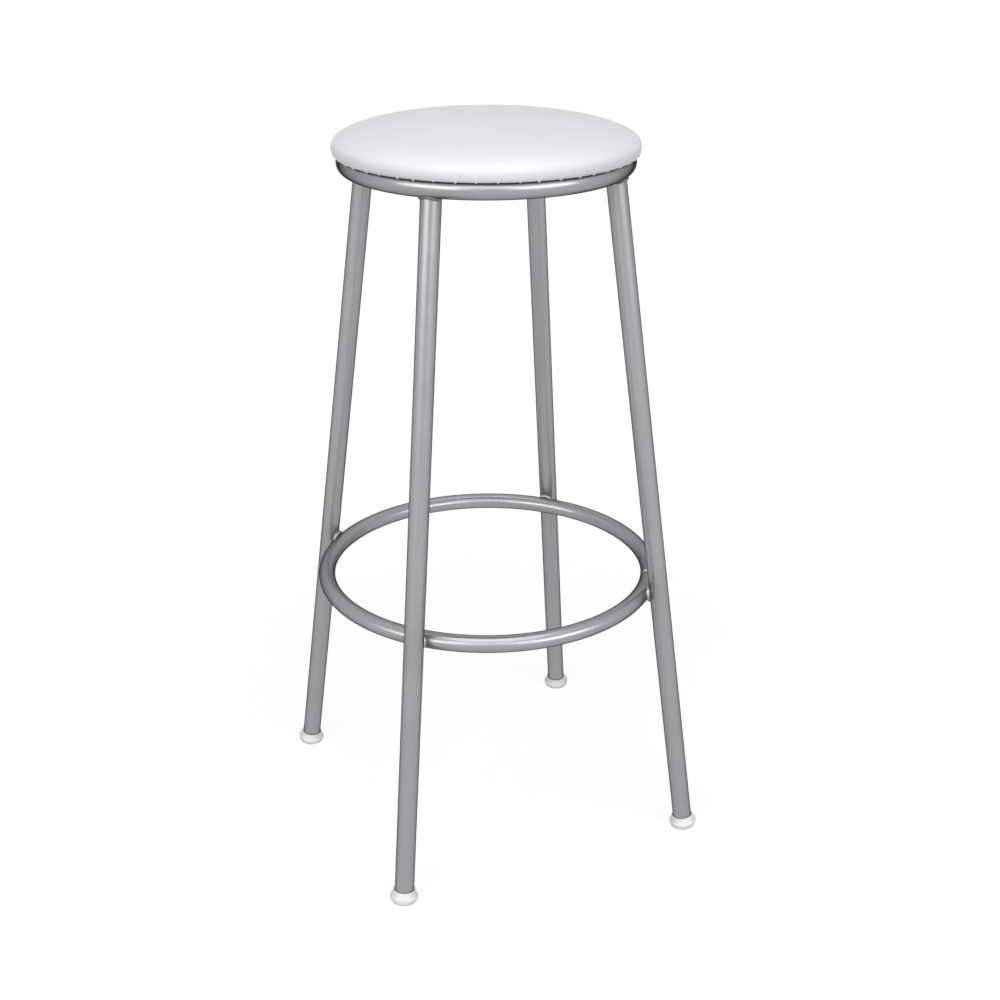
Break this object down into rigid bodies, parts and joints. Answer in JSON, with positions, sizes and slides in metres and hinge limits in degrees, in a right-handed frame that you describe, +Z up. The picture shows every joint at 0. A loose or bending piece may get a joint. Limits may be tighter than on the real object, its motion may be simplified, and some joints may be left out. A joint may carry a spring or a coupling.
{
  "type": "counter stool",
  "caption": "Tall backless stool with a round domed vinyl pad on a rolled tube ring, splayed straight tube legs, a welded foot ring and white plastic glides.",
  "frame": {"origin": "the floor under the centre of the seat", "axes": "+Z up along the stool's axis, -Y to the front; the legs stand on the diagonals between X and Y"},
  "size_m": [0.3658, 0.3658, 0.76],
  "materials": {
    "vinyl": "white artificial leather with a fine grain, semi-gloss",
    "foam": "open-cell cream upholstery foam",
    "plywood": "raw birch plywood",
    "painted_steel": "silver-grey metallic paint, satin",
    "weld": "weld beads under the same silver-grey paint",
    "white_plastic": "white moulded plastic, satin",
    "fastener_zinc": "bright zinc plate"
  },
  "bodies": {
    "root": {"seat_cover": "vinyl", "seat_foam": "foam", "seat_board": "plywood", "staple_01": "fastener_zinc", "staple_02": "fastener_zinc", "staple_03": "fastener_zinc", "staple_04": "fastener_zinc", "staple_05": "fastener_zinc", "staple_06": "fastener_zinc", "staple_07": "fastener_zinc", "staple_08": "fastener_zinc", "staple_09": "fastener_zinc", "staple_10": "fastener_zinc", "staple_11": "fastener_zinc", "staple_12": "fastener_zinc", "staple_13": "fastener_zinc", "staple_14": "fastener_zinc", "staple_15": "fastener_zinc", "staple_16": "fastener_zinc", "seat_ring": "painted_steel", "seat_ring_seam_weld": "weld", "foot_ring": "painted_steel", "foot_ring_seam_weld": "weld", "leg_rear_right": "painted_steel", "leg_weld_rear_right": "weld", "foot_ring_weld_rear_right": "weld", "glide_rear_right": "white_plastic", "leg_rear_left": "painted_steel", "leg_weld_rear_left": "weld", "foot_ring_weld_rear_left": "weld", "glide_rear_left": "white_plastic", "leg_front_left": "painted_steel", "leg_weld_front_left": "weld", "foot_ring_weld_front_left": "weld", "glide_front_left": "white_plastic", "leg_front_right": "painted_steel", "leg_weld_front_right": "weld", "foot_ring_weld_front_right": "weld", "glide_front_right": "white_plastic", "seat_tab_right": "painted_steel", "tab_weld_right": "weld", "seat_screw_right": "fastener_zinc", "seat_tab_rear": "painted_steel", "tab_weld_rear": "weld", "seat_screw_rear": "fastener_zinc", "seat_tab_left": "painted_steel", "tab_weld_left": "weld", "seat_screw_left": "fastener_zinc", "seat_tab_front": "painted_steel", "tab_weld_front": "weld", "seat_screw_front": "fastener_zinc"}
  },
  "joints": []
}
